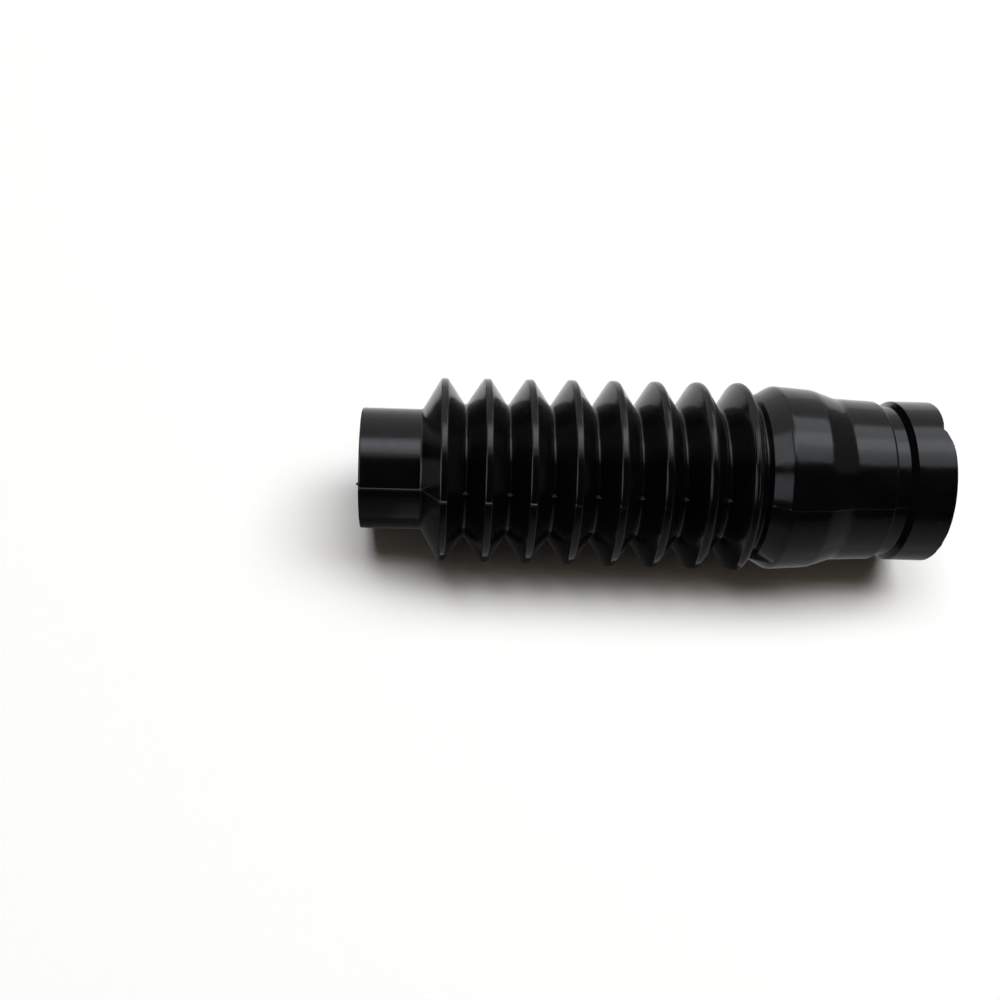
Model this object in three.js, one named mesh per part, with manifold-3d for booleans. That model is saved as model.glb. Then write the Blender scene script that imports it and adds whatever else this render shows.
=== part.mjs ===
// Fork gaiter: a one-piece moulded rubber bellows that covers the sliding tube of a
// motorbike's telescopic fork. It stands on its wide end and +Z runs up the fork's axis.
// Sizes are in millimetres and degrees. Heights start at the wide end's rim.

import * as THREE from "three";
import { mergeVertices } from "three/addons/utils/BufferGeometryUtils.js";
import Module from "manifold-3d";

// Wall of the moulding
const WALL = 2.0;

// Wide end: a clamp band below a groove, then the lower body
const RIM_RADIUS = 27.0;
const BAND_TOP_RADIUS = 26.9;
const BAND_HEIGHT = 12.6;
const GROOVE_RADIUS = 25.2;
const GROOVE_RAMP = 1.8;
const GROOVE_WIDTH = 4.3;
const GROOVE_TOP_LEAN = 0.3;
const LIP_WALL = 1.4;
const LIP_HEIGHT = 6.4;
const LIP_LEDGE_SLOPE = 30;
const BEAD_MARGIN = 1.2;
const BEAD_TOP_SLOPE = 45;

// Body: a slim lower part, a swell, an upper part and a taper towards the folds
const BODY_END_RADIUS = 26.75;
const LOWER_BODY_RADIUS = 27.3;
const LOWER_BODY_HEIGHT = 14.0;
const UPPER_BODY_RADIUS = 30.0;
const SWELL_HEIGHT = 8.0;
const SHOULDER_RADIUS = 30.85;
const UPPER_BODY_HEIGHT = 12.7;
const TAPER_RADIUS = 27.5;
const TAPER_HEIGHT = 5.8;

// Folds: the crests grow a little from the collar to the body
const FOLD_COUNT = 8;
const FOLD_PITCH = 14.0;
const FOLD_DEPTH = 9.0;
const CREST_LAND = 2.0;
const FIRST_CREST_RADIUS = 30.3;
const LAST_CREST_RADIUS = 31.6;
const LAST_VALLEY_DEPTH = 6.2;
const LAST_VALLEY_RISE = 1.7;
const LAST_CREST_RISE = 4.0;

// Collar that grips the fork tube, with the flare that leads to it
const FLARE_RISE = 7.0;
const COLLAR_RADIUS = 19.9;
const COLLAR_BORE_RADIUS = 17.4;
const COLLAR_HEIGHT = 19.8;

// Rounding of the corners
const EDGE_ROUND = 0.35;
const COLLAR_EDGE_ROUND = 0.6;
const CREST_ROUND = 0.6;
const VALLEY_ROUND = 0.7;
const FLARE_ROUND = 1.0;
const TAPER_ROUND = 0.6;
const SHOULDER_ROUND = 3.0;
const SWELL_ROUND = 9.0;
const BODY_END_ROUND = 0.8;
const INNER_CREST_ROUND = 0.5;

// Smoothness of the faceted solid
const AROUND_STEPS = 40;
const ARC_STEP = 120;
const INNER_VALLEY_ARC_STEP = 60;
const SWELL_ARC_STEP = 8;

// Nicks torn out of the rim: pairs of direction around the axis and depth
const NICK_REACH = 7.0;
const NICKS = [
  [
    [-52, 0], [-46, 0.25], [-42, 0.5], [-38, 1.0], [-34, 1.5], [-31.5, 1.85], [-30.5, 2.4],
    [-28, 2.2], [-25, 1.8], [-20, 1.4], [-13, 0.95], [-5, 0.6], [4, 0.5], [11, 0.3], [15, 0],
  ],
  [
    [-150, 0], [-144, 0.25], [-136, 0.35], [-128, 0.3], [-122.8, 0.35],
    [-121.8, 0.05], [-118.2, 0.05], [-117.2, 0.3], [-113, 0.3], [-107, 0],
  ],
];

const radians = THREE.MathUtils.degToRad;

// A corner of the section: x is the radius, y is the height, round is its fillet
function corner(radius, height, round, arcStep = ARC_STEP) {
  return { at: new THREE.Vector2(radius, height), round, arcStep };
}

// Heights that stack up from the rim
const rampTop = BAND_HEIGHT + GROOVE_RAMP;
const grooveTop = rampTop + GROOVE_WIDTH;
const bodyEnd = grooveTop + GROOVE_TOP_LEAN;
const swellFoot = bodyEnd + LOWER_BODY_HEIGHT;
const swellTop = swellFoot + SWELL_HEIGHT;
const shoulder = swellTop + UPPER_BODY_HEIGHT;
const taperEnd = shoulder + TAPER_HEIGHT;
const lastValley = taperEnd + LAST_VALLEY_RISE;
const lastCrest = lastValley + LAST_CREST_RISE;
const firstCrest = lastCrest + (FOLD_COUNT - 1) * FOLD_PITCH;
const flareEnd = firstCrest + FLARE_RISE;
const topEnd = flareEnd + COLLAR_HEIGHT;

function crestRadius(fold) {
  return THREE.MathUtils.lerp(FIRST_CREST_RADIUS, LAST_CREST_RADIUS, fold / (FOLD_COUNT - 1));
}

// Outside corners of one fold, from its upper crest corner down to the valley below it
function foldCorners(fold) {
  const height = firstCrest - fold * FOLD_PITCH;
  const radius = crestRadius(fold);
  const corners = [
    corner(radius, height + CREST_LAND / 2, CREST_ROUND),
    corner(radius, height - CREST_LAND / 2, CREST_ROUND),
  ];
  if (fold < FOLD_COUNT - 1) {
    const valleyRadius = crestRadius(fold + 0.5) - FOLD_DEPTH;
    corners.push(corner(valleyRadius, height - FOLD_PITCH / 2, VALLEY_ROUND));
  } else {
    corners.push(corner(radius - LAST_VALLEY_DEPTH, lastValley, VALLEY_ROUND));
  }
  return corners;
}

// Outside of the section from the flare down to the body's lower edge
function bellowsOutside() {
  const corners = [corner(COLLAR_RADIUS, flareEnd, FLARE_ROUND)];
  for (let fold = 0; fold < FOLD_COUNT; fold += 1) {
    corners.push(...foldCorners(fold));
  }
  corners.push(
    corner(TAPER_RADIUS, taperEnd, TAPER_ROUND),
    corner(SHOULDER_RADIUS, shoulder, SHOULDER_ROUND),
    corner(UPPER_BODY_RADIUS, swellTop, SWELL_ROUND, SWELL_ARC_STEP),
    corner(LOWER_BODY_RADIUS, swellFoot, SWELL_ROUND, SWELL_ARC_STEP),
    corner(BODY_END_RADIUS, bodyEnd, BODY_END_ROUND),
  );
  return corners;
}

// Outside of the groove and the clamp band, down to the rim
function wideEndOutside() {
  return [
    corner(GROOVE_RADIUS, grooveTop, EDGE_ROUND),
    corner(GROOVE_RADIUS, rampTop, EDGE_ROUND),
    corner(BAND_TOP_RADIUS, BAND_HEIGHT, EDGE_ROUND),
    corner(RIM_RADIUS, 0, EDGE_ROUND),
  ];
}

// A straight line of the section, as a point on it and its direction
function line(from, to) {
  return { from, along: to.clone().sub(from).normalize() };
}

function slopedLine(radius, height, slope) {
  const along = new THREE.Vector2(Math.sin(radians(slope)), Math.cos(radians(slope)));
  return { from: new THREE.Vector2(radius, height), along };
}

// The same line moved into the wall, for corners that run from the top down
function inset(source, distance) {
  const inward = new THREE.Vector2(source.along.y, -source.along.x).multiplyScalar(distance);
  return { from: source.from.clone().add(inward), along: source.along };
}

function meeting(a, b) {
  const across = a.along.cross(b.along);
  const reach = b.from.clone().sub(a.from).cross(b.along) / across;
  return a.from.clone().addScaledVector(a.along, reach);
}

// Lines of the inside, from the collar's bore down to the lip at the rim
function insideLines(outside) {
  const lines = [slopedLine(COLLAR_BORE_RADIUS, topEnd, 180)];
  for (let k = 0; k + 1 < outside.length; k += 1) {
    const [from, to] = [outside[k].at, outside[k + 1].at];
    const isCrestLand = from.x === to.x;
    if (!isCrestLand) lines.push(inset(line(from, to), WALL));
  }
  const beadRadius = GROOVE_RADIUS - WALL;
  lines.push(
    slopedLine(beadRadius, grooveTop + BEAD_MARGIN, 180 + BEAD_TOP_SLOPE),
    slopedLine(beadRadius, grooveTop, 180),
    slopedLine(beadRadius, LIP_HEIGHT, 90 + LIP_LEDGE_SLOPE),
    slopedLine(RIM_RADIUS - LIP_WALL, 0, 180),
  );
  return lines;
}

// Inside corners, from the top down: the fillets follow the outside ones at the wall's distance
function insideCorners(outside) {
  const lines = insideLines(outside);
  const corners = [corner(COLLAR_BORE_RADIUS, topEnd, EDGE_ROUND)];
  for (let k = 0; k + 1 < lines.length; k += 1) {
    const turn = lines[k].along.cross(lines[k + 1].along);
    const bendsOut = turn < 0;
    const round = bendsOut ? INNER_CREST_ROUND : VALLEY_ROUND + WALL;
    const arcStep = bendsOut ? ARC_STEP : INNER_VALLEY_ARC_STEP;
    const at = meeting(lines[k], lines[k + 1]);
    corners.push(corner(at.x, at.y, round, arcStep));
  }
  corners.push(corner(RIM_RADIUS - LIP_WALL, 0, EDGE_ROUND));
  return corners;
}

// Rounds each corner of a closed outline with an arc that leaves part of both sides straight
function roundedOutline(corners) {
  const points = [];
  corners.forEach(({ at, round, arcStep }, k) => {
    const before = corners[(k + corners.length - 1) % corners.length].at;
    const after = corners[(k + 1) % corners.length].at;
    const toBefore = before.clone().sub(at);
    const toAfter = after.clone().sub(at);
    const room = 0.45 * Math.min(toBefore.length(), toAfter.length());
    toBefore.normalize();
    toAfter.normalize();
    const half = Math.acos(THREE.MathUtils.clamp(toBefore.dot(toAfter), -1, 1)) / 2;
    const turn = Math.PI - 2 * half;
    const cutBack = Math.min(round / Math.tan(half), room);
    const radius = cutBack * Math.tan(half);
    const centre = toBefore.clone().add(toAfter).normalize().multiplyScalar(radius / Math.sin(half)).add(at);
    const start = at.clone().addScaledVector(toBefore, cutBack);
    const side = Math.sign(toAfter.cross(toBefore));
    const steps = Math.max(1, Math.ceil(turn / radians(arcStep)));
    for (let s = 0; s <= steps; s += 1) {
      points.push(start.clone().rotateAround(centre, side * turn * (s / steps)));
    }
  });
  return points;
}

// The whole section as one closed outline: down the inside and back up the outside
function sectionOutline() {
  const bellows = bellowsOutside();
  const down = [corner(COLLAR_RADIUS, topEnd, COLLAR_EDGE_ROUND), ...bellows, ...wideEndOutside()];
  const up = insideCorners(bellows).reverse();
  const outline = roundedOutline([...down, ...up].reverse());
  outline.push(outline[0].clone());
  return outline;
}

// A wedge across the rim, shaped like one nick seen from outside
function nickWedge(nick) {
  const middle = radians((nick[0][0] + nick[nick.length - 1][0]) / 2);
  const shape = new THREE.Shape();
  nick.forEach(([direction, depth], k) => {
    const along = RIM_RADIUS * (radians(direction) - middle);
    if (k === 0) shape.moveTo(along, -NICK_REACH);
    shape.lineTo(along, depth);
  });
  shape.lineTo(RIM_RADIUS * (radians(nick[nick.length - 1][0]) - middle), -NICK_REACH);
  const start = RIM_RADIUS - LIP_WALL - NICK_REACH;
  const wedge = new THREE.ExtrudeGeometry(shape, { depth: LIP_WALL + 2 * NICK_REACH, bevelEnabled: false });
  const tangent = new THREE.Vector3(-Math.sin(middle), Math.cos(middle), 0);
  const outward = new THREE.Vector3(Math.cos(middle), Math.sin(middle), 0);
  const place = new THREE.Matrix4().makeBasis(tangent, new THREE.Vector3(0, 0, 1), outward);
  place.setPosition(outward.clone().multiplyScalar(start));
  return wedge.applyMatrix4(place);
}

const wasm = await Module();
wasm.setup();

function toSolid(geometry) {
  geometry.deleteAttribute("normal");
  geometry.deleteAttribute("uv");
  const merged = mergeVertices(geometry);
  const vertProperties = new Float32Array(merged.attributes.position.array);
  const triVerts = new Uint32Array(merged.index.array);
  return new wasm.Manifold(new wasm.Mesh({ numProp: 3, vertProperties, triVerts }));
}

function toGeometry(solid) {
  const { vertProperties, triVerts } = solid.getMesh();
  const geometry = new THREE.BufferGeometry();
  geometry.setAttribute("position", new THREE.BufferAttribute(vertProperties, 3));
  geometry.setIndex(new THREE.BufferAttribute(triVerts, 1));
  geometry.computeVertexNormals();
  return geometry;
}

// The moulding: the section turned about the axis, less the nicks
function gaiterGeometry() {
  const turned = new THREE.LatheGeometry(sectionOutline(), AROUND_STEPS);
  turned.rotateX(Math.PI / 2);
  let solid = toSolid(turned);
  for (const nick of NICKS) {
    solid = solid.subtract(toSolid(nickWedge(nick)));
  }
  return toGeometry(solid);
}

const blackRubber = new THREE.MeshStandardMaterial({ color: 0x16161a, roughness: 0.38, metalness: 0 });

const gaiter = new THREE.Mesh(gaiterGeometry(), blackRubber);
gaiter.name = "gaiter";

const forkGaiter = new THREE.Group();
forkGaiter.add(gaiter);

export default forkGaiter;
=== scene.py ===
"""Fork gaiter: a one-piece black rubber bellows, lit and framed as it lies in its photograph.

The gaiter stands on its wide end in its own frame, with +Z along the fork. The photograph shows
it lying on a white table, so the table is an upright plane here and the camera is turned with it.
"""

import logging
import math
from collections.abc import Callable
from dataclasses import dataclass, field
from enum import Enum

import bmesh
import bpy
from mathutils import Matrix, Vector


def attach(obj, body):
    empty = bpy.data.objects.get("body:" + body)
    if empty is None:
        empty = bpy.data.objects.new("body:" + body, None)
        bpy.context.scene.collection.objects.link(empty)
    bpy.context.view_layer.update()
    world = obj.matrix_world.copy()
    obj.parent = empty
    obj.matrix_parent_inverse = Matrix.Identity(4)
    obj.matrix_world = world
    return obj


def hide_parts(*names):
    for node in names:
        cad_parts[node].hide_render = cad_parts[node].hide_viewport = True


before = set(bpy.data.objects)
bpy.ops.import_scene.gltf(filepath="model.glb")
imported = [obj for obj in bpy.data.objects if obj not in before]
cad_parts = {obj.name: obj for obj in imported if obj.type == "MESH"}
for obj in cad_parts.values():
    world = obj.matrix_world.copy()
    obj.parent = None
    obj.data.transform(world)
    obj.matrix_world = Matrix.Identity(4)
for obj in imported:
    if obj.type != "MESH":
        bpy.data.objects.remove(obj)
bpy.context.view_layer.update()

MM = 0.001
GRID_STEP = 6.0

logging.basicConfig(level=logging.INFO, format="%(message)s")
log = logging.getLogger("fork_gaiter")


class Skin(Enum):
    """The two skins of the moulding's wall."""

    OUTSIDE = 1.0
    INSIDE = 0.0


class Ray(Enum):
    """The kinds of light path that see the plain white background."""

    CAMERA = "Is Camera Ray"
    GLOSSY = "Is Glossy Ray"
    TRANSMISSION = "Is Transmission Ray"


class LampUse(Enum):
    """What a lamp shows on: the rubber's gloss alone or lit surfaces alone."""

    GLOSS = (True, False)
    SURFACES = (False, True)


class Wiring:
    """Adds and joins the nodes of one tree."""

    def __init__(self, tree: bpy.types.NodeTree) -> None:
        """Keeps the tree that the nodes go into."""
        self.tree = tree

    def add(self, kind: str, **settings: object) -> bpy.types.Node:
        """Adds one node.

        Args:
            kind: The node's type name.
            settings: Properties to set on the node.

        Returns:
            The new node.
        """
        node = self.tree.nodes.new(kind)
        for name, value in settings.items():
            setattr(node, name, value)
        return node

    def feed(self, socket: bpy.types.NodeSocket, value: object) -> None:
        """Links a socket to another one, or sets its own value.

        Args:
            socket: The input to feed.
            value: An output socket, or a plain value.
        """
        if isinstance(value, bpy.types.NodeSocket):
            self.tree.links.new(value, socket)
        else:
            socket.default_value = value

    def math(self, operation: str, *values: object) -> bpy.types.NodeSocket:
        """Adds a Math node.

        Args:
            operation: The node's operation.
            values: Sockets or numbers for its inputs, in order.

        Returns:
            The result's socket.
        """
        node = self.add("ShaderNodeMath", operation=operation)
        for socket, value in zip(node.inputs, values):
            self.feed(socket, value)
        return node.outputs[0]

    def fade(
        self, value: object, start: object, end: object, at_start: float, at_end: float
    ) -> bpy.types.NodeSocket:
        """Maps a value smoothly from one range to another.

        Args:
            value: The value to map.
            start: Where the change starts.
            end: Where the change ends.
            at_start: The result up to the start.
            at_end: The result from the end on.

        Returns:
            The result's socket.
        """
        node = self.add("ShaderNodeMapRange", interpolation_type="SMOOTHSTEP")
        for name, given in (("Value", value), ("From Min", start), ("From Max", end)):
            self.feed(node.inputs[name], given)
        node.inputs["To Min"].default_value = at_start
        node.inputs["To Max"].default_value = at_end
        return node.outputs["Result"]

    def clear_behind(self, shader: bpy.types.NodeSocket) -> bpy.types.NodeSocket:
        """Makes a surface clear when it is seen from behind.

        Args:
            shader: The shader of its front.

        Returns:
            The mixed shader's socket.
        """
        mixed = self.add("ShaderNodeMixShader")
        self.feed(mixed.inputs[0], self.add("ShaderNodeNewGeometry").outputs["Backfacing"])
        self.feed(mixed.inputs[1], shader)
        self.feed(mixed.inputs[2], self.add("ShaderNodeBsdfTransparent").outputs[0])
        return mixed.outputs[0]

    def noise(
        self, place: bpy.types.NodeSocket, scale: object, detail: float, seed: object
    ) -> bpy.types.NodeSocket:
        """Adds a four-dimensional noise whose fourth place is the seed.

        Args:
            place: Where the noise is read.
            scale: Its scale.
            detail: Its number of octaves.
            seed: Its seed.

        Returns:
            The noise's value, around one half.
        """
        node = self.add("ShaderNodeTexNoise", noise_dimensions="4D")
        self.feed(node.inputs["Vector"], place)
        self.feed(node.inputs["W"], seed)
        self.feed(node.inputs["Scale"], scale)
        node.inputs["Detail"].default_value = detail
        return node.outputs["Fac"]


@dataclass(frozen=True)
class Corner:
    """A corner of the wall's section: radius and height in millimetres."""

    radius: float
    height: float
    round: float = 0.0
    steps: int = 1
    flash: float = 0.0
    skin: Skin = Skin.OUTSIDE

    @property
    def at(self) -> Vector:
        """The corner as a point of the section."""
        return Vector((self.radius, self.height))

    def towards(self, other: "Corner", distance: float, flash: float) -> "Corner":
        """Gives a plain point at a distance towards another corner, with its flash."""
        place = self.at + (other.at - self.at).normalized() * distance
        return Corner(place.x, place.y, 0.0, 1, flash, self.skin)


@dataclass(frozen=True)
class Straight:
    """A straight of the section, as a point on it and its direction."""

    start: Vector
    along: Vector

    @staticmethod
    def between(first: Vector, last: Vector) -> "Straight":
        """Gives the straight through two points."""
        return Straight(first, (last - first).normalized())

    @staticmethod
    def sloped(radius: float, height: float, slope: float) -> "Straight":
        """Gives the straight through a point at an angle to the axis, in degrees."""
        turn = math.radians(slope)
        return Straight(Vector((radius, height)), Vector((math.sin(turn), math.cos(turn))))

    def inset(self, distance: float) -> "Straight":
        """Gives the same straight moved into the wall."""
        return Straight(self.start + Vector((self.along.y, -self.along.x)) * distance, self.along)

    def meets(self, other: "Straight") -> Vector:
        """Gives the point where two straights cross."""
        across = self.along.cross(other.along)
        return self.start + self.along * ((other.start - self.start).cross(other.along) / across)


@dataclass(frozen=True)
class MouldingSizes:
    """Sizes of the moulding in millimetres and degrees. Heights stack up from the rim."""

    wall: float = 2.0
    rim_radius: float = 27.0
    band_top_radius: float = 26.9
    band_height: float = 12.6
    groove_radius: float = 25.2
    groove_ramp: float = 1.8
    groove_width: float = 4.3
    groove_top_lean: float = 0.3
    lip_wall: float = 1.4
    lip_height: float = 6.4
    lip_ledge_slope: float = 30.0
    bead_margin: float = 1.2
    bead_top_slope: float = 45.0
    body_end_radius: float = 26.75
    lower_body_radius: float = 27.3
    lower_body_height: float = 14.0
    upper_body_radius: float = 30.0
    swell_height: float = 8.0
    shoulder_radius: float = 30.85
    upper_body_height: float = 12.7
    taper_radius: float = 27.5
    taper_height: float = 5.8
    fold_count: int = 8
    fold_pitch: float = 14.0
    fold_depth: float = 9.0
    crest_land: float = 2.0
    first_crest_radius: float = 30.3
    last_crest_radius: float = 31.6
    last_valley_depth: float = 6.2
    last_valley_rise: float = 1.7
    last_crest_rise: float = 4.0
    flare_rise: float = 7.0
    collar_radius: float = 19.9
    collar_bore_radius: float = 17.4
    collar_height: float = 19.8

    @property
    def ramp_top(self) -> float:
        """Height of the groove's lower corner."""
        return self.band_height + self.groove_ramp

    @property
    def groove_top(self) -> float:
        """Height of the groove's upper corner."""
        return self.ramp_top + self.groove_width

    @property
    def body_end(self) -> float:
        """Height of the body's lower edge."""
        return self.groove_top + self.groove_top_lean

    @property
    def swell_foot(self) -> float:
        """Height where the body starts to swell."""
        return self.body_end + self.lower_body_height

    @property
    def swell_top(self) -> float:
        """Height where the swell ends."""
        return self.swell_foot + self.swell_height

    @property
    def shoulder(self) -> float:
        """Height of the body's shoulder."""
        return self.swell_top + self.upper_body_height

    @property
    def taper_end(self) -> float:
        """Height where the taper ends."""
        return self.shoulder + self.taper_height

    @property
    def last_valley(self) -> float:
        """Height of the shallow valley between the body and the last fold."""
        return self.taper_end + self.last_valley_rise

    @property
    def first_crest(self) -> float:
        """Height of the crest next to the collar."""
        return self.last_valley + self.last_crest_rise + (self.fold_count - 1) * self.fold_pitch

    @property
    def flare_end(self) -> float:
        """Height where the flare meets the collar."""
        return self.first_crest + self.flare_rise

    @property
    def top_end(self) -> float:
        """Height of the collar's end."""
        return self.flare_end + self.collar_height

    def crest_radius(self, fold: float) -> float:
        """Gives the radius at a fold, counted from the collar."""
        share = fold / (self.fold_count - 1)
        return self.first_crest_radius + (self.last_crest_radius - self.first_crest_radius) * share


@dataclass(frozen=True)
class Nick:
    """A piece torn out of the rim: directions around the axis in degrees, depths in millimetres."""

    outline: tuple[tuple[float, float], ...]

    @property
    def start(self) -> float:
        """The direction where the nick starts."""
        return self.outline[0][0]

    @property
    def end(self) -> float:
        """The direction where the nick ends."""
        return self.outline[-1][0]


@dataclass
class Gaiter:
    """The moulding: a closed section turned about the axis, with its flash lines and torn rim."""

    sizes: MouldingSizes = field(default_factory=MouldingSizes)
    parting_direction: float = -88.4
    flash_half_width: float = 0.5
    collar_flash: float = 0.2
    flare_flash: float = 0.36
    body_flash: float = 0.09
    valley_flash: float = 1.0
    crest_flashes: tuple[float, ...] = (0.55, 0.45, 0.38, 0.22, 0.14, 0.07, 0.0, 0.0)
    flank_flash: float = 0.015
    flank_run: float = 1.6
    crest_rounds: tuple[float, ...] = (0.75, 0.75, 0.75, 0.8, 0.9, 1.2, 1.6, 1.8)
    valley_round: float = 0.7
    edge_round: float = 0.35
    inner_round: float = 0.5
    nib_direction: float = -84.4
    nib_rise: float = 0.8
    nib_half_width: float = 0.6
    wave_depth: float = 0.05
    wave_length: float = 22.0
    tear_roughness: float = 0.35
    tear_scale: float = 900.0
    deepest_nick: float = 3.0
    column_step: float = 2.1
    nick_step: float = 0.85
    nib_step: float = 0.6
    least_step: float = 0.12
    line_steps: tuple[float, ...] = (0.0, 0.16, 0.33, 0.5, 0.7, 1.0, 1.5, 2.2, 3.2)
    seed: int = 7
    nicks: tuple[Nick, ...] = (
        Nick((
            (-52, 0), (-46, 0.25), (-42, 0.5), (-38, 1.0), (-34, 1.5), (-31.5, 1.85), (-30.5, 2.4),
            (-28, 2.2), (-25, 1.8), (-20, 1.4), (-13, 0.95), (-5, 0.6), (4, 0.5), (11, 0.3), (15, 0),
        )),
        Nick((
            (-150, 0), (-144, 0.25), (-136, 0.35), (-128, 0.3), (-122.8, 0.35),
            (-121.8, 0.05), (-118.2, 0.05), (-117.2, 0.3), (-113, 0.3), (-107, 0),
        )),
    )

    def fold_corners(self, fold: int) -> list[Corner]:
        """Gives the outside corners of one fold, from its upper crest corner to the valley below.

        Args:
            fold: The fold's number, counted from the collar.

        Returns:
            The land's two corners and the valley.
        """
        s = self.sizes
        height = s.first_crest - fold * s.fold_pitch
        radius = s.crest_radius(fold)
        flash, round_size = self.crest_flashes[fold], self.crest_rounds[fold]
        steps = 4 if round_size < 1.0 else 8
        if fold < s.fold_count - 1:
            deep = s.crest_radius(fold + 0.5) - s.fold_depth
            valley = Corner(deep, height - s.fold_pitch / 2, self.valley_round, 4, self.valley_flash)
        else:
            shallow = radius - s.last_valley_depth
            valley = Corner(shallow, s.last_valley, self.valley_round, 4, self.body_flash)
        upper = Corner(radius, height + s.crest_land / 2, round_size, steps, flash)
        lower = Corner(radius, height - s.crest_land / 2, round_size, steps, flash)
        return [upper, lower, valley]

    def bellows_outside(self) -> list[Corner]:
        """Gives the outside corners from the flare down to the body's lower edge."""
        s = self.sizes
        corners = [Corner(s.collar_radius, s.flare_end, 1.0, 4, self.flare_flash)]
        for fold in range(s.fold_count):
            corners += self.fold_corners(fold)
        corners += [
            Corner(s.taper_radius, s.taper_end, 0.6, 3, self.body_flash),
            Corner(s.shoulder_radius, s.shoulder, 3.0, 6, self.body_flash),
            Corner(s.upper_body_radius, s.swell_top, 9.0, 7, self.body_flash),
            Corner(s.lower_body_radius, s.swell_foot, 9.0, 7, self.body_flash),
            Corner(s.body_end_radius, s.body_end, 1.0, 5, self.body_flash),
        ]
        return corners

    def wide_end_outside(self) -> list[Corner]:
        """Gives the outside corners of the groove and the clamp band."""
        s = self.sizes
        return [
            Corner(s.groove_radius, s.groove_top, self.edge_round, 3, self.body_flash),
            Corner(s.groove_radius, s.ramp_top, self.edge_round, 2, self.body_flash),
            Corner(s.band_top_radius, s.band_height, self.edge_round, 3, self.body_flash),
            Corner(s.rim_radius, 0.0, self.edge_round, 3, 0.0),
        ]

    def inside_corners(self, outside: list[Corner]) -> list[Corner]:
        """Gives the inside corners, which follow the outside ones at the wall's distance.

        Args:
            outside: The outside corners of the bellows and the body, from the top down.

        Returns:
            The corners from the collar's bore down to the lip at the rim.
        """
        s = self.sizes
        lines = [Straight.sloped(s.collar_bore_radius, s.top_end, 180.0)]
        for above, below in zip(outside, outside[1:]):
            if above.radius != below.radius:
                lines.append(Straight.between(above.at, below.at).inset(s.wall))
        bead = s.groove_radius - s.wall
        lip = s.rim_radius - s.lip_wall
        lines += [
            Straight.sloped(bead, s.groove_top + s.bead_margin, 180.0 + s.bead_top_slope),
            Straight.sloped(bead, s.groove_top, 180.0),
            Straight.sloped(bead, s.lip_height, 90.0 + s.lip_ledge_slope),
            Straight.sloped(lip, 0.0, 180.0),
        ]
        corners = [Corner(s.collar_bore_radius, s.top_end, self.edge_round, 2, skin=Skin.INSIDE)]
        for above, below in zip(lines, lines[1:]):
            place = above.meets(below)
            if above.along.cross(below.along) < 0:
                corners.append(Corner(place.x, place.y, self.inner_round, 2, skin=Skin.INSIDE))
            else:
                round_size = self.valley_round + s.wall
                corners.append(Corner(place.x, place.y, round_size, 4, skin=Skin.INSIDE))
        corners.append(Corner(lip, 0.0, self.edge_round, 2, skin=Skin.INSIDE))
        return corners

    def with_flank_points(self, corners: list[Corner]) -> list[Corner]:
        """Adds points beside the crests and valleys, so that their flash stays short.

        Args:
            corners: The outside corners from the top down.

        Returns:
            The corners with the added points.
        """
        points = []
        least_drop = self.sizes.last_valley_depth / 2
        run, flash = self.flank_run, self.flank_flash
        for above, below in zip(corners, corners[1:] + [None]):
            points.append(above)
            is_flank = below is not None and abs(above.radius - below.radius) > least_drop
            if is_flank and above.height < self.sizes.first_crest:
                points += [above.towards(below, run, flash), below.towards(above, run, flash)]
        return points

    def section(self) -> bpy.types.Object:
        """Builds the section as a closed loop of edges in the XZ plane, with the corners' attributes."""
        s = self.sizes
        bellows = self.bellows_outside()
        collar_edge = Corner(s.collar_radius, s.top_end, 0.6, 4, self.collar_flash)
        down = self.with_flank_points([collar_edge, *bellows, *self.wide_end_outside()])
        corners = down + self.inside_corners(bellows)[::-1]
        mesh = bpy.data.meshes.new("gaiter_section")
        count = len(corners)
        mesh.from_pydata(
            [(c.radius * MM, 0.0, c.height * MM) for c in corners],
            [(k, (k + 1) % count) for k in range(count)],
            [],
        )
        for name, kind, values in (
            ("round", "FLOAT", [c.round * MM for c in corners]),
            ("steps", "INT", [c.steps for c in corners]),
            ("flash", "FLOAT", [c.flash * MM for c in corners]),
            ("outside", "FLOAT", [c.skin.value for c in corners]),
        ):
            mesh.attributes.new(name, kind, "POINT").data.foreach_set("value", values)
        return add_object("gaiter_section", mesh)

    def directions(self) -> list[float]:
        """Gives the columns' directions in degrees, close together where the shape needs it."""
        lines = (self.parting_direction, self.parting_direction + 180.0)
        chosen = {
            round(line + side * step, 3)
            for line in lines for side in (-1, 1) for step in self.line_steps
        }
        chosen |= {round(self.nib_direction + self.nib_step * k, 3) for k in range(-2, 4)}
        for nick in self.nicks:
            steps = round((nick.end - nick.start) / self.nick_step)
            chosen |= {round(nick.start + (nick.end - nick.start) * k / steps, 3) for k in range(steps + 1)}
        kept: list[float] = []
        for direction in sorted(chosen):
            if not kept or direction - kept[-1] > self.least_step:
                kept.append(direction)
        columns: list[float] = []
        for here, after in zip(kept, kept[1:] + [kept[0] + 360.0]):
            between = max(1, math.ceil((after - here) / self.column_step))
            columns += [here + (after - here) * k / between for k in range(between)]
        return columns

    def ring(self) -> bpy.types.Object:
        """Builds the circle that the section is turned around, one point for each column."""
        turns = [math.radians(direction) for direction in self.directions()]
        mesh = bpy.data.meshes.new("gaiter_ring")
        count = len(turns)
        mesh.from_pydata(
            [(math.cos(turn), math.sin(turn), 0.0) for turn in turns],
            [(k, (k + 1) % count) for k in range(count)],
            [],
        )
        wrapped = [math.atan2(math.sin(turn), math.cos(turn)) for turn in turns]
        mesh.attributes.new("direction", "FLOAT", "POINT").data.foreach_set("value", wrapped)
        return add_object("gaiter_ring", mesh)

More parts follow.
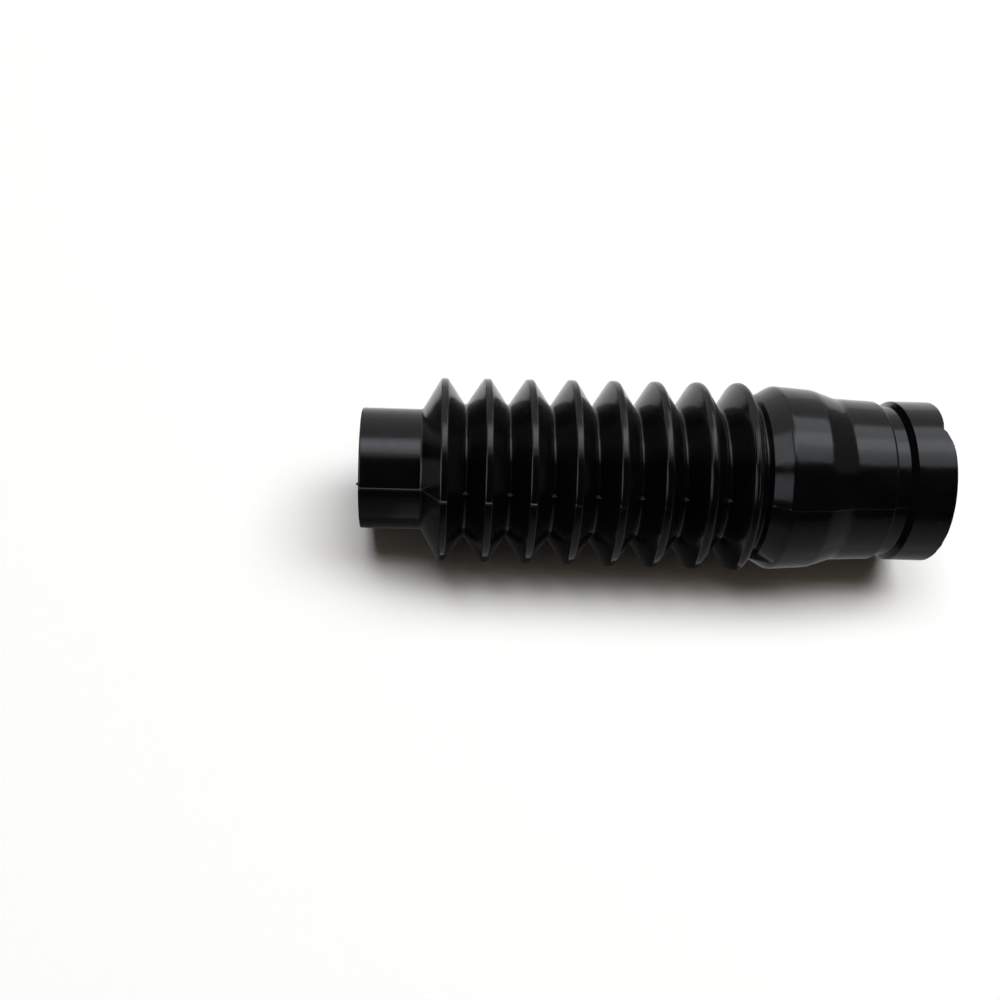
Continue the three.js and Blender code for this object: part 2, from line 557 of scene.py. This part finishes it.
    def nick_depth(self, wiring: Wiring, direction: bpy.types.NodeSocket) -> bpy.types.NodeSocket:
        """Adds the curve that gives the torn depth at each direction.

        Args:
            wiring: The tree's wiring.
            direction: The direction around the axis in radians.

        Returns:
            The depth in metres.
        """
        share = wiring.math("MULTIPLY_ADD", direction, 0.5 / math.pi, 0.5)
        node = wiring.add("ShaderNodeFloatCurve")
        wiring.feed(node.inputs["Value"], share)
        curve = node.mapping.curves[0]
        outline = [(-180.0, 0.0), (180.0, 0.0)] + [point for nick in self.nicks for point in nick.outline]
        places = [((turn + 180.0) / 360.0, depth / self.deepest_nick) for turn, depth in sorted(outline)]
        curve.points[0].location = places[0]
        curve.points[1].location = places[-1]
        for place in places[1:-1]:
            curve.points.new(*place)
        for point in curve.points:
            point.handle_type = "VECTOR"
        node.mapping.update()
        return wiring.math("MULTIPLY", node.outputs["Value"], self.deepest_nick * MM)

    def tree(self) -> bpy.types.NodeTree:
        """Builds the tree that rounds the section, turns it about the axis and adds flash and nicks."""
        tree = bpy.data.node_groups.new("turned_moulding", "GeometryNodeTree")
        floats = (
            "Parting Direction", "Flash Half Width", "Nib Direction", "Nib Rise", "Nib Half Width",
            "Nib Foot", "Wave Depth", "Wave Length", "Tear Roughness",
        )
        sockets = [("Section", "Geometry"), ("Ring", "Object"), *((name, "Float") for name in floats)]
        for name, kind in (*sockets, ("Seed", "Int"), ("Material", "Material")):
            tree.interface.new_socket(name, in_out="INPUT", socket_type=f"NodeSocket{kind}")
        tree.interface.new_socket("Moulding", in_out="OUTPUT", socket_type="NodeSocketGeometry")
        w = Wiring(tree)
        given = w.add("NodeGroupInput").outputs
        outline = w.add("GeometryNodeMeshToCurve")
        w.feed(outline.inputs["Mesh"], given["Section"])
        rounded = w.add("GeometryNodeFilletCurve", mode="POLY")
        w.feed(rounded.inputs["Curve"], outline.outputs["Curve"])
        w.feed(rounded.inputs["Count"], self.named(w, "steps", "INT"))
        w.feed(rounded.inputs["Radius"], self.named(w, "round", "FLOAT"))
        rounded.inputs["Limit Radius"].default_value = True
        placed = w.add("GeometryNodeCaptureAttribute")
        placed.capture_items.new("VECTOR", "Place")
        w.feed(placed.inputs["Geometry"], rounded.outputs["Curve"])
        w.feed(placed.inputs["Place"], w.add("GeometryNodeInputPosition").outputs[0])
        ring = w.add("GeometryNodeObjectInfo")
        w.feed(ring.inputs["Object"], given["Ring"])
        path = w.add("GeometryNodeMeshToCurve")
        w.feed(path.inputs["Mesh"], ring.outputs["Geometry"])
        swept = w.add("GeometryNodeCurveToMesh")
        w.feed(swept.inputs["Curve"], path.outputs["Curve"])
        w.feed(swept.inputs["Profile Curve"], placed.outputs["Geometry"])
        parts = w.add("ShaderNodeSeparateXYZ")
        w.feed(parts.inputs[0], placed.outputs["Place"])
        radius, height = parts.outputs["X"], parts.outputs["Z"]
        direction = self.named(w, "direction", "FLOAT")
        cosine, sine = w.math("COSINE", direction), w.math("SINE", direction)
        turned = w.add("ShaderNodeCombineXYZ")
        w.feed(turned.inputs["X"], w.math("MULTIPLY", radius, cosine))
        w.feed(turned.inputs["Y"], w.math("MULTIPLY", radius, sine))
        w.feed(turned.inputs["Z"], height)
        outside = self.named(w, "outside", "FLOAT")
        aside = w.math("PINGPONG", w.math("SUBTRACT", direction, given["Parting Direction"]), math.pi / 2)
        near = w.fade(w.math("MULTIPLY", aside, radius), 0.0, given["Flash Half Width"], 1.0, 0.0)
        ridge = w.math("MULTIPLY", near, self.named(w, "flash", "FLOAT"))
        wave_scale = w.math("DIVIDE", 1.0, given["Wave Length"])
        waves = w.noise(turned.outputs[0], wave_scale, 1.0, given["Seed"])
        wave = w.math("MULTIPLY", waves, given["Wave Depth"])
        lift = w.math("MULTIPLY", outside, w.math("SUBTRACT", ridge, wave))
        wide = w.math("ADD", radius, lift)
        depth = self.nick_depth(w, direction)
        rough = w.math("SUBTRACT", w.noise(turned.outputs[0], self.tear_scale, 2.0, given["Seed"]), 0.5)
        torn = w.math("MULTIPLY_ADD", w.math("MULTIPLY", rough, given["Tear Roughness"]), depth, depth)
        nib_aside = w.math("ABSOLUTE", w.math("SUBTRACT", direction, given["Nib Direction"]))
        nib = w.fade(w.math("MULTIPLY", nib_aside, radius), 0.0, given["Nib Half Width"], 1.0, 0.0)
        on_end = w.math("MULTIPLY", w.math("GREATER_THAN", height, given["Nib Foot"]), outside)
        nib = w.math("MULTIPLY", w.math("MULTIPLY", nib, on_end), given["Nib Rise"])
        shaped = w.add("ShaderNodeCombineXYZ")
        w.feed(shaped.inputs["X"], w.math("MULTIPLY", wide, cosine))
        w.feed(shaped.inputs["Y"], w.math("MULTIPLY", wide, sine))
        w.feed(shaped.inputs["Z"], w.math("ADD", w.math("MAXIMUM", height, torn), nib))
        moved = w.add("GeometryNodeSetPosition")
        w.feed(moved.inputs["Geometry"], swept.outputs["Mesh"])
        w.feed(moved.inputs["Position"], shaped.outputs[0])
        smooth = w.add("GeometryNodeSetShadeSmooth")
        w.feed(smooth.inputs["Geometry"], moved.outputs["Geometry"])
        real = w.add("GeometryNodeRealizeInstances")
        w.feed(real.inputs["Geometry"], smooth.outputs["Geometry"])
        painted = w.add("GeometryNodeSetMaterial")
        w.feed(painted.inputs["Geometry"], real.outputs["Geometry"])
        w.feed(painted.inputs["Material"], given["Material"])
        w.feed(w.add("NodeGroupOutput").inputs[0], painted.outputs["Geometry"])
        return tree

    @staticmethod
    def named(wiring: Wiring, name: str, kind: str) -> bpy.types.NodeSocket:
        """Adds a node that reads a named attribute.

        Args:
            wiring: The tree's wiring.
            name: The attribute's name.
            kind: Its data type.

        Returns:
            The attribute's socket.
        """
        node = wiring.add("GeometryNodeInputNamedAttribute", data_type=kind)
        node.inputs["Name"].default_value = name
        return node.outputs["Attribute"]

    def build(self, material: bpy.types.Material) -> bpy.types.Object:
        """Builds the moulding as a plain mesh.

        Args:
            material: The rubber it is dressed in.

        Returns:
            The finished piece.
        """
        section, ring = self.section(), self.ring()
        tree = self.tree()
        modifier = section.modifiers.new("turned_moulding", "NODES")
        modifier.node_group = tree
        values = {
            "Ring": ring,
            "Parting Direction": math.radians(self.parting_direction),
            "Flash Half Width": self.flash_half_width * MM,
            "Nib Direction": math.radians(self.nib_direction),
            "Nib Rise": self.nib_rise * MM,
            "Nib Half Width": self.nib_half_width * MM,
            "Nib Foot": (self.sizes.top_end - 0.5) * MM,
            "Wave Depth": self.wave_depth * MM,
            "Wave Length": self.wave_length * MM,
            "Tear Roughness": self.tear_roughness,
            "Seed": self.seed,
            "Material": material,
        }
        for item in tree.interface.items_tree:
            if item.in_out == "INPUT" and item.name in values:
                modifier[item.identifier] = values[item.name]
        weighted = section.modifiers.new("even_shading", "WEIGHTED_NORMAL")
        weighted.mode = "FACE_AREA"
        weighted.weight = 80
        mesh = plain_mesh(section, "fork_gaiter")
        for helper in (section, ring):
            bpy.data.objects.remove(helper)
        for name in ("round", "steps", "flash", "direction"):
            if name in mesh.attributes:
                mesh.attributes.remove(mesh.attributes[name])
        return add_object("fork_gaiter", mesh)


@dataclass(frozen=True)
class BlackRubber:
    """Satin black rubber with a faint grain, soft sheen changes and a little dust."""

    name: str = "black_rubber"
    deep: tuple[float, float, float] = (0.0012, 0.0012, 0.0014)
    worn: tuple[float, float, float] = (0.0024, 0.0023, 0.0024)
    dust: tuple[float, float, float] = (0.05, 0.048, 0.045)
    roughness: tuple[float, float] = (0.14, 0.2)
    specular_level: float = 0.25
    patch_scale: float = 95.0
    cloud_scale: float = 420.0
    speck_scale: float = 190.0
    speck_size: float = 0.035
    speck_rarity: float = 0.93
    speck_strength: float = 0.8
    ripple_scale: float = 210.0
    ripple_strength: float = 0.25
    ripple_height: float = 0.12
    grain_scale: float = 5200.0
    grain_strength: float = 0.12
    grain_height: float = 0.015

    def material(self) -> bpy.types.Material:
        """Builds the rubber's nodes and returns the material."""
        material = bpy.data.materials.new(self.name)
        material.use_nodes = True
        w = Wiring(material.node_tree)
        shader = material.node_tree.nodes["Principled BSDF"]
        place = w.add("ShaderNodeTexCoord").outputs["Object"]
        patches = w.noise(place, self.patch_scale, 3.0, 3.0)
        cloud = w.noise(place, self.cloud_scale, 4.0, 5.0)
        colour = w.add("ShaderNodeMix", data_type="RGBA")
        w.feed(colour.inputs["Factor"], w.fade(patches, 0.35, 0.7, 0.0, 1.0))
        colour.inputs["A"].default_value = (*self.deep, 1.0)
        colour.inputs["B"].default_value = (*self.worn, 1.0)
        specks = w.add("ShaderNodeTexVoronoi")
        w.feed(specks.inputs["Vector"], place)
        specks.inputs["Scale"].default_value = self.speck_scale
        lone = w.add("ShaderNodeSeparateColor")
        w.feed(lone.inputs[0], specks.outputs["Color"])
        is_small = w.math("LESS_THAN", specks.outputs["Distance"], self.speck_size)
        is_rare = w.math("GREATER_THAN", lone.outputs[0], self.speck_rarity)
        is_speck = w.math("MULTIPLY", is_small, is_rare)
        dusty = w.add("ShaderNodeMix", data_type="RGBA")
        w.feed(dusty.inputs["Factor"], w.math("MULTIPLY", is_speck, self.speck_strength))
        w.feed(dusty.inputs["A"], colour.outputs["Result"])
        dusty.inputs["B"].default_value = (*self.dust, 1.0)
        w.feed(shader.inputs["Base Color"], dusty.outputs["Result"])
        sheen = w.fade(cloud, 0.3, 0.7, *self.roughness)
        w.feed(shader.inputs["Roughness"], sheen)
        shader.inputs["Specular IOR Level"].default_value = self.specular_level
        ripple = w.add("ShaderNodeBump")
        ripple.inputs["Strength"].default_value = self.ripple_strength
        ripple.inputs["Distance"].default_value = self.ripple_height * MM
        w.feed(ripple.inputs["Height"], w.noise(place, self.ripple_scale, 2.0, 11.0))
        grain = w.add("ShaderNodeBump")
        grain.inputs["Strength"].default_value = self.grain_strength
        grain.inputs["Distance"].default_value = self.grain_height * MM
        w.feed(grain.inputs["Height"], w.noise(place, self.grain_scale, 2.0, 13.0))
        w.feed(grain.inputs["Normal"], ripple.outputs["Normal"])
        w.feed(shader.inputs["Normal"], grain.outputs["Normal"])
        return material


@dataclass(frozen=True)
class PictureAxes:
    """The photograph's directions in the gaiter's frame.

    The camera looks at the gaiter from the direction `camera_turn` around the axis. The table's
    normal lies `table_lift` degrees from there towards the picture's top. The axis runs from right
    to left in the picture.
    """

    camera_turn: float = -69.0
    table_lift: float = 32.0

    def out(self, lift: float, lean: float = 0.0) -> Vector:
        """Gives a direction seen from the gaiter.

        Args:
            lift: Degrees from the camera towards the picture's top.
            lean: Degrees from there towards the picture's right.

        Returns:
            The unit vector.
        """
        turn = math.radians(self.camera_turn + lift)
        flat = Vector((math.cos(turn), math.sin(turn), 0.0))
        return flat * math.cos(math.radians(lean)) - Vector((0.0, 0.0, 1.0)) * math.sin(math.radians(lean))

    @property
    def right(self) -> Vector:
        """The picture's right, down the gaiter's axis."""
        return Vector((0.0, 0.0, -1.0))


@dataclass(frozen=True)
class PhotoCamera:
    """The photograph's camera, in millimetres, radians and pixels of a 1000 pixel wide picture."""

    height: float = 167.9
    distance: float = 367.5
    focal_pixels: float = 1104.56
    pan: float = 0.0651
    tilt: float = 0.0262
    roll: float = 0.0245
    sensor: float = 36.0

    def build(self, axes: PictureAxes) -> bpy.types.Object:
        """Builds the camera.

        Args:
            axes: The photograph's directions.

        Returns:
            The camera's object.
        """
        towards, up, right = axes.out(0.0), axes.out(90.0), axes.right
        forward = (
            right * (math.sin(self.pan) * math.cos(self.tilt))
            - up * math.sin(self.tilt)
            - towards * (math.cos(self.pan) * math.cos(self.tilt))
        )
        level = right * math.cos(self.pan) + towards * math.sin(self.pan)
        upright = level.cross(forward)
        side = level * math.cos(self.roll) + upright * math.sin(self.roll)
        top = upright * math.cos(self.roll) - level * math.sin(self.roll)
        data = bpy.data.cameras.new("photo_camera")
        data.sensor_fit = "HORIZONTAL"
        data.sensor_width = self.sensor
        data.lens = self.focal_pixels * self.sensor / 1000.0
        data.clip_start = 0.01
        data.clip_end = 50.0
        camera = add_object("photo_camera", data)
        place = (towards * self.distance + Vector((0.0, 0.0, self.height))) * MM
        camera.matrix_world = turned_matrix(side, top, -forward, place)
        bpy.context.scene.camera = camera
        return camera


@dataclass(frozen=True)
class Panel:
    """A flat panel around the gaiter: where it stands and how much of the view it fills.

    Angles are in degrees, as in PictureAxes.out, and the reach is in metres.
    """

    name: str
    lift: float
    lean: float
    high: float
    wide: float
    reach: float = 1.2

    def matrix(self, axes: PictureAxes, target: Vector) -> Matrix:
        """Gives the panel's place, with its back turned to the outside.

        Args:
            axes: The photograph's directions.
            target: The point it faces.

        Returns:
            A matrix whose X runs along the gaiter and whose Z points away from the target.
        """
        away = axes.out(self.lift, self.lean)
        along = (axes.right - away * axes.right.dot(away)).normalized()
        return turned_matrix(along, away.cross(along), away, target + away * self.reach)

    @property
    def size(self) -> tuple[float, float]:
        """Width and height in metres."""
        halves = (math.tan(math.radians(angle / 2.0)) for angle in (self.wide, self.high))
        return tuple(2.0 * self.reach * half for half in halves)


@dataclass(frozen=True)
class SoftLamp(Panel):
    """A softbox or window pane of even brightness, where 1 is white paper's."""

    level: float = 1.0
    colour: tuple[float, float, float] = (0.94, 0.99, 1.08)
    use: LampUse = LampUse.GLOSS

    def build(self, axes: PictureAxes, target: Vector) -> bpy.types.Object:
        """Builds the lamp.

        Args:
            axes: The photograph's directions.
            target: The point it faces.

        Returns:
            The lamp's object.
        """
        data = bpy.data.lights.new(self.name, "AREA")
        data.shape = "RECTANGLE"
        data.size, data.size_y = self.size
        data.energy = self.level * math.pi * data.size * data.size_y
        data.color = self.colour
        lamp = add_object(self.name, data)
        lamp.matrix_world = self.matrix(axes, target)
        lamp.visible_camera = False
        lamp.visible_glossy, lamp.visible_diffuse = self.use.value
        return lamp


@dataclass(frozen=True)
class GlossCard:
    """A card that paints a reflection: it shows only in the rubber's gloss, as the dark side of the studio
    does, and casts no light or shadow.
    """

    name: str
    shade: float = 0.02
    one_sided: bool = False

    def hang(self, mesh: bpy.types.Mesh) -> bpy.types.Object:
        """Dresses the card and adds it to the scene.

        Args:
            mesh: The card's shape.

        Returns:
            The card's object.
        """
        material = bpy.data.materials.new(self.name)
        material.use_nodes = True
        w = Wiring(material.node_tree)
        material.node_tree.nodes.remove(material.node_tree.nodes["Principled BSDF"])
        glow = w.add("ShaderNodeEmission")
        w.feed(glow.inputs["Strength"], self.brightness(w))
        surface = w.clear_behind(glow.outputs[0]) if self.one_sided else glow.outputs[0]
        w.feed(material.node_tree.nodes["Material Output"].inputs["Surface"], surface)
        mesh.materials.append(material)
        card = add_object(self.name, mesh)
        for kind in ("camera", "diffuse", "transmission", "volume_scatter", "shadow"):
            setattr(card, f"visible_{kind}", False)
        return card

    def brightness(self, wiring: Wiring) -> object:
        """Gives the card's brightness, as a number or a socket."""
        return self.shade


@dataclass(frozen=True)
class CurvedCard(GlossCard):
    """A card curved around the gaiter, from one pair of angles to another, in degrees."""

    lifts: tuple[float, float] = (0.0, 0.0)
    leans: tuple[float, float] = (0.0, 0.0)
    reach: float = 1.5

    def build(self, axes: PictureAxes, target: Vector) -> bpy.types.Object:
        """Builds the card.

        Args:
            axes: The photograph's directions.
            target: The point it curves around.

        Returns:
            The card's object.
        """
        def place(lift: float, lean: float) -> Vector:
            """Gives the card's point for a pair of angles."""
            return target + self.reach * axes.out(lift, lean)

        return self.hang(grid(self.name, self.lifts, self.leans, place))


@dataclass(frozen=True)
class RingCard(GlossCard):
    """A flat ring around the gaiter, in metres, that paints shade in the rubber's gloss and shows only
    towards the picture's right.
    """

    height: float = 0.0
    radii: tuple[float, float] = (0.1, 0.2)

    def build(self, axes: PictureAxes) -> bpy.types.Object:
        """Builds the card.

        Args:
            axes: The photograph's directions.

        Returns:
            The card's object.
        """
        middle = Vector((0.0, 0.0, self.height))

        def place(radius: float, lift: float) -> Vector:
            """Gives the ring's point for a radius and an angle."""
            return middle + radius * axes.out(lift)

        return self.hang(grid(self.name, self.radii, (-180.0, 180.0), place))


@dataclass(frozen=True)
class TablePlane:
    """The table's surface: a point under the gaiter, the way out of it and the way down the gaiter."""

    foot: Vector
    normal: Vector
    along: Vector

    @staticmethod
    def under(sizes: MouldingSizes, axes: PictureAxes) -> "TablePlane":
        """Gives the plane that the crests lie on.

        Args:
            sizes: The moulding's sizes.
            axes: The photograph's directions.

        Returns:
            The plane.
        """
        run = (sizes.fold_count - 1) * sizes.fold_pitch
        rise = (sizes.last_crest_radius - sizes.first_crest_radius) / run
        up = axes.out(axes.table_lift)
        normal = (up - Vector((0.0, 0.0, 1.0)) * rise).normalized()
        along = (axes.right - normal * axes.right.dot(normal)).normalized()
        crest = sizes.first_crest - run
        return TablePlane((Vector((0.0, 0.0, crest)) - up * sizes.last_crest_radius) * MM, normal, along)

    def sheet(self, nearer: float = 0.0, left: float = 0.0, above: float = 0.0) -> Matrix:
        """Gives the place of a sheet on the table.

        Args:
            nearer: How far its middle lies towards the picture's bottom.
            left: How far its middle lies towards the picture's left.
            above: How far it lies above the table.

        Returns:
            A matrix whose X runs along the gaiter and whose Z points out of the table.
        """
        across = self.normal.cross(self.along)
        place = self.foot - across * nearer - self.along * left + self.normal * above
        return turned_matrix(self.along, across, self.normal, place)


@dataclass(frozen=True)
class TableCard(GlossCard):
    """A flat card on the table, in metres, that paints the table's reflection in the rubber's gloss.

    It reaches from one distance to another towards the picture's bottom, and from one to another
    towards its left, both counted from the last crest. It gets half as bright over its fade.
    """

    nearer: tuple[float, float] = (0.0, 1.0)
    left: tuple[float, float] = (-1.5, 1.5)
    fade: float = 1000.0
    thickness: float = 0.001

    def brightness(self, wiring: Wiring) -> object:
        """Gives the card's brightness, which falls towards the picture's bottom."""
        place = wiring.add("ShaderNodeSeparateXYZ")
        wiring.feed(place.inputs[0], wiring.add("ShaderNodeTexCoord").outputs["Object"])
        middle = sum(self.nearer) / 2.0
        share = wiring.math("MULTIPLY_ADD", place.outputs["Y"], -1.0 / self.fade, 1.0 + middle / self.fade)
        return wiring.math("DIVIDE", self.shade, share)

    def build(self, plane: TablePlane) -> bpy.types.Object:
        """Builds the card.

        Args:
            plane: The table's surface.

        Returns:
            The card's object.
        """
        card = self.hang(rectangle(self.name, self.left[1] - self.left[0], self.nearer[1] - self.nearer[0]))
        card.matrix_world = plane.sheet(sum(self.nearer) / 2.0, sum(self.left) / 2.0, self.thickness)
        return card


@dataclass
class Studio:
    """The white table, the soft lamps, the cards that paint reflections and shade in the rubber's gloss, and
    the plain white surroundings.
    """

    axes: PictureAxes = field(default_factory=PictureAxes)
    target: Vector = field(default_factory=lambda: Vector((0.0, 0.0, 0.095)))
    table_size: float = 6.0
    paper: float = 0.93
    ambient: float = 0.022
    ambient_colour: tuple[float, float, float] = (1.0, 0.9, 0.8)
    lamps: tuple[SoftLamp, ...] = (
        SoftLamp("daylight", 41.0, 10.0, 36.0, 60.0, 3.1, 2.95, (1.0, 1.0, 1.0), LampUse.SURFACES),
        SoftLamp("daylight_core", 41.0, 10.0, 24.0, 60.0, 3.0, 3.75, (1.0, 1.0, 1.0), LampUse.SURFACES),
        SoftLamp("room_glow", 8.0, 10.0, 30.0, 70.0, 3.1, 0.16, (1.0, 0.82, 0.58), LampUse.SURFACES),
        SoftLamp("window_left", 43.5, -1.5, 29.0, 27.0, 3.0, 2.35),
        SoftLamp("window_left_glow", 45.0, -1.5, 14.0, 27.0, 2.9, 1.35),
        SoftLamp("window_right", 57.0, 23.5, 66.0, 23.0, 3.0, 1.2),
        SoftLamp("window_right_middle", 57.5, 23.5, 43.0, 23.0, 2.95, 0.7),
        SoftLamp("window_right_glow", 52.0, 23.5, 16.0, 23.0, 2.9, 1.55),
        SoftLamp("left_pane_high", 42.0, -38.0, 36.0, 18.0, 1.2, 1.9),
        SoftLamp("left_pane_low", -13.0, -43.0, 28.0, 16.0, 1.2, 1.8),
    )
    # Painted reflections of the room: dark cards where the room around is dark, a dim far wall, and one
    # glowing card that paints a highlight.
    curved_cards: tuple[CurvedCard, ...] = (
        CurvedCard("room_behind_camera", lifts=(-58.0, 21.0), leans=(-30.0, 62.0)),
        CurvedCard("room_at_right", 0.26, lifts=(12.0, 123.0), leans=(36.0, 90.0), reach=1.4),
        CurvedCard("room_at_right_low", lifts=(-58.0, 12.0), leans=(62.0, 90.0)),
        CurvedCard("room_at_left", lifts=(-58.0, 20.0), leans=(-47.0, -17.0)),
        CurvedCard("room_far_left", lifts=(-58.0, 75.0), leans=(-90.0, -47.0)),
        CurvedCard("far_wall", 0.66, lifts=(84.0, 123.0), leans=(4.0, 36.0), reach=1.6),
        # Painted highlight: a glowing card, no lamp, seen only in the gloss, that paints a bright line along
        # the crests' left corners.
        CurvedCard("side_pane", 2.4, lifts=(-36.0, 24.0), leans=(-90.0, -48.0), reach=0.16),
    )
    # Painted shade: a dark ring seen only in the gloss, which darkens the groove's ramp.
    groove_flag: RingCard = RingCard("groove_flag", one_sided=True, height=0.03, radii=(0.03, 0.15))
    # Painted reflections of the table: painted shade under the gaiter and the collar, darker table to the
    # left, and a table that dims towards the picture's bottom.
    table_cards: tuple[TableCard, ...] = (
        TableCard("near_table", 0.46, nearer=(0.04, 3.0), left=(-3.0, 3.0), fade=0.3),
        TableCard("near_table_left", 0.22, nearer=(0.045, 0.5), left=(0.115, 0.6), fade=0.3, thickness=0.002),
        TableCard("under_gaiter", 0.032, nearer=(-0.03, 0.037), left=(-0.02, 0.1), thickness=0.0005),
        TableCard("under_collar", 0.08, nearer=(-0.02, 0.045), left=(0.1, 0.15), thickness=0.0015),
        TableCard("left_table", 0.06, nearer=(-0.4, 0.045), left=(0.15, 0.6), thickness=0.002),
        TableCard("right_table", 0.28, nearer=(0.01, 0.045), left=(-0.2, -0.008), thickness=0.0015),
    )

    def table(self, plane: TablePlane) -> bpy.types.Object:
        """Builds the white table that the crests lie on.

        Args:
            plane: The table's surface.

        Returns:
            The table's object.
        """
        mesh = rectangle("table", self.table_size, self.table_size)
        mesh.materials.append(self.paper_material())
        table = add_object("table", mesh)
        table.matrix_world = plane.sheet()
        return table

    def paper_material(self) -> bpy.types.Material:
        """Builds the table's paper, which is clear from behind."""
        material = bpy.data.materials.new("white_paper")
        material.use_nodes = True
        nodes = material.node_tree.nodes
        nodes.remove(nodes["Principled BSDF"])
        w = Wiring(material.node_tree)
        paper = w.add("ShaderNodeBsdfDiffuse")
        colour = w.math("MULTIPLY_ADD", self.seen_directly(w), 1.0 - self.paper, self.paper)
        w.feed(paper.inputs["Color"], colour)
        w.feed(nodes["Material Output"].inputs["Surface"], w.clear_behind(paper.outputs[0]))
        return material

    def surroundings(self) -> None:
        """Makes the world plain white to look at and softly bright as a light."""
        world = bpy.data.worlds.new("surroundings")
        world.use_nodes = True
        bpy.context.scene.world = world
        w = Wiring(world.node_tree)
        background = world.node_tree.nodes["Background"]
        seen = self.seen_directly(w)
        colour = w.add("ShaderNodeMix", data_type="RGBA")
        w.feed(colour.inputs["Factor"], seen)
        colour.inputs["A"].default_value = (*self.ambient_colour, 1.0)
        colour.inputs["B"].default_value = (1.0, 1.0, 1.0, 1.0)
        w.feed(background.inputs["Color"], colour.outputs["Result"])
        w.feed(background.inputs["Strength"], w.math("MULTIPLY_ADD", seen, 1.0 - self.ambient, self.ambient))

    @staticmethod
    def seen_directly(wiring: Wiring) -> bpy.types.NodeSocket:
        """Adds the test for the light paths that see the plain white background.

        Args:
            wiring: The tree's wiring.

        Returns:
            1 for those paths and 0 for the others.
        """
        path = wiring.add("ShaderNodeLightPath")
        seen: bpy.types.NodeSocket = path.outputs[Ray.CAMERA.value]
        for ray in (Ray.GLOSSY, Ray.TRANSMISSION):
            seen = wiring.math("MAXIMUM", seen, path.outputs[ray.value])
        return seen

    def build(self, sizes: MouldingSizes) -> None:
        """Builds the whole studio around the gaiter."""
        plane = TablePlane.under(sizes, self.axes)
        self.table(plane)
        self.surroundings()
        for thing in (*self.lamps, *self.curved_cards):
            thing.build(self.axes, self.target)
        self.groove_flag.build(self.axes)
        for card in self.table_cards:
            card.build(plane)
        bpy.context.scene.view_settings.view_transform = "Standard"


def add_object(name: str, data: bpy.types.ID) -> bpy.types.Object:
    """Adds an object for some data to the scene.

    Args:
        name: The object's name.
        data: Its mesh, lamp or camera.

    Returns:
        The new object.
    """
    thing = bpy.data.objects.new(name, data)
    bpy.context.scene.collection.objects.link(thing)
    return thing


def spread(first: float, last: float) -> list[float]:
    """Gives three or more even values between two ends, a grid step apart at most."""
    count = max(2, math.ceil((last - first) / GRID_STEP))
    return [first + (last - first) * k / count for k in range(count + 1)]


def grid(
    name: str,
    rows: tuple[float, float],
    columns: tuple[float, float],
    place: Callable[[float, float], Vector],
) -> bpy.types.Mesh:
    """Makes a patch of faces over two ranges of values.

    Args:
        name: The mesh's name.
        rows: First and last value across the rows.
        columns: First and last value across the columns.
        place: Gives the point for a row's and a column's value.

    Returns:
        The mesh.
    """
    down, along = spread(*rows), spread(*columns)
    wide = len(along)
    mesh = bpy.data.meshes.new(name)
    mesh.from_pydata(
        [place(row, column) for row in down for column in along],
        [],
        [
            (k, k + 1, k + 1 + wide, k + wide)
            for k in (row * wide + column for row in range(len(down) - 1) for column in range(wide - 1))
        ],
    )
    return mesh


def rectangle(name: str, width: float, height: float) -> bpy.types.Mesh:
    """Makes a flat rectangle around the origin, in the XY plane.

    Args:
        name: The mesh's name.
        width: Its size along X.
        height: Its size along Y.

    Returns:
        The mesh.
    """
    mesh = bpy.data.meshes.new(name)
    x, y = width / 2.0, height / 2.0
    mesh.from_pydata([(-x, -y, 0.0), (x, -y, 0.0), (x, y, 0.0), (-x, y, 0.0)], [], [(0, 1, 2, 3)])
    return mesh


def turned_matrix(x: Vector, y: Vector, z: Vector, place: Vector) -> Matrix:
    """Makes a matrix from its three axes and its place."""
    return Matrix.Translation(place) @ Matrix((x, y, z)).transposed().to_4x4()


def plain_mesh(thing: bpy.types.Object, name: str) -> bpy.types.Mesh:
    """Evaluates an object's modifiers into a mesh of its own, with its faces outwards.

    Args:
        thing: The object with live modifiers.
        name: The new mesh's name.

    Returns:
        The plain mesh.
    """
    graph = bpy.context.evaluated_depsgraph_get()
    mesh = bpy.data.meshes.new_from_object(thing.evaluated_get(graph), depsgraph=graph)
    mesh.name = name
    shell = bmesh.new()
    shell.from_mesh(mesh)
    volume = shell.calc_volume(signed=True)
    shell.free()
    if volume < 0:
        mesh.flip_normals()
    log.info("%s: %d faces, %.1f cm3", name, len(mesh.polygons), abs(volume) * 1e6)
    return mesh


def main() -> None:
    """Builds the gaiter, its studio and the camera."""
    gaiter = Gaiter()
    piece = gaiter.build(BlackRubber().material())
    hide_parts("gaiter")
    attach(piece, "root")
    log.info("fork gaiter built")
    studio = Studio()
    studio.build(gaiter.sizes)
    log.info("studio built")
    PhotoCamera().build(studio.axes)


if __name__ == "__main__":
    main()
